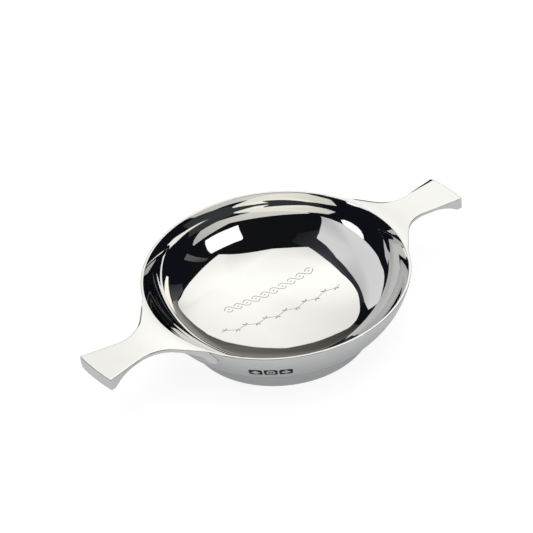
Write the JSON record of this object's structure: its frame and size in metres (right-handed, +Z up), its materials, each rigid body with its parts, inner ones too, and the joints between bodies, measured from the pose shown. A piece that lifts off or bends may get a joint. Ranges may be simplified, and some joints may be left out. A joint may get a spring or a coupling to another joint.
{
  "type": "quaich",
  "caption": "Shallow round pewter drinking bowl on a low foot ring, with a flat waisted lug handle on each side, level with the rim.",
  "frame": {"origin": "on the table under the middle of the bowl, in the plane of the foot ring's standing face", "axes": "+X along the two lugs, +Z up out of the bowl, +Y across"},
  "size_m": [0.1648, 0.1016, 0.0263],
  "materials": {
    "polished_pewter": "turned and polished pewter, mirror bright with fine polishing lines",
    "solder": "soft solder, smoothed flush and a little duller than the castings"
  },
  "bodies": {
    "root": {"bowl": "polished_pewter", "foot_ring": "polished_pewter", "foot_solder": "solder", "lug_left": "polished_pewter", "lug_right": "polished_pewter", "lug_left_solder": "solder", "lug_right_solder": "solder"}
  },
  "joints": []
}
